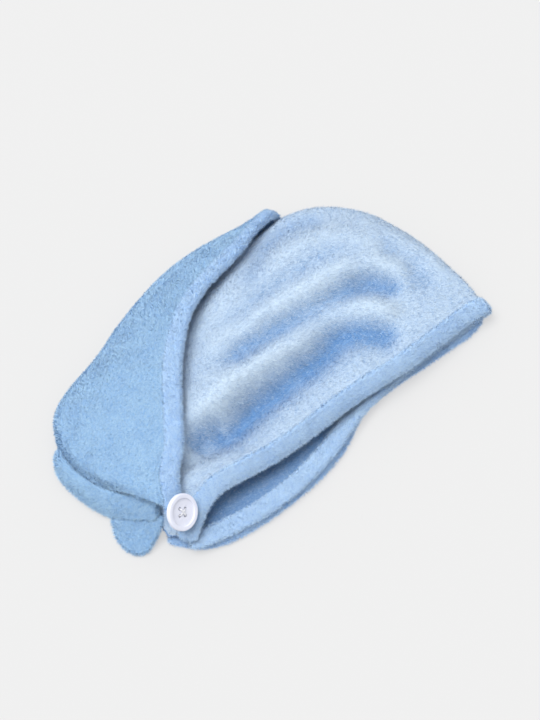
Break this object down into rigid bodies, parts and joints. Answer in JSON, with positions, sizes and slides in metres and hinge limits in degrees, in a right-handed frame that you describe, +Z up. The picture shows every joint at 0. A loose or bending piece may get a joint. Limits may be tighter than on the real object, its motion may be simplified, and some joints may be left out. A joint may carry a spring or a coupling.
{
  "type": "hair turban towel",
  "caption": "Soft fleece hair turban lying on its side: an open hood with rolled hems, its tail wrapped round the back and over to a button at the nape.",
  "frame": {"origin": "on the resting surface, under the middle of the whole turban's box", "axes": "+X along the brim from the nape to the forehead corner, +Y from the brim to the crown, +Z up from the surface it lies on"},
  "size_m": [0.3256, 0.2106, 0.0436],
  "materials": {
    "hood_fleece": "coral fleece, bright side of the pile, soft sheen",
    "tail_fleece": "coral fleece, short dense pile",
    "hem_fleece": "coral fleece turned into a rolled hem",
    "button_plastic": "smooth white plastic with a soft gloss",
    "white_thread": "white sewing thread and elastic cord"
  },
  "bodies": {
    "root": {"hood": "hood_fleece", "brim_hem": "hem_fleece", "tail": "tail_fleece", "flap_hem": "hem_fleece", "front_hem": "hem_fleece", "side_hem": "hem_fleece", "tail_tip": "tail_fleece", "button": "button_plastic", "button_thread": "white_thread", "button_loop": "white_thread"}
  },
  "joints": []
}
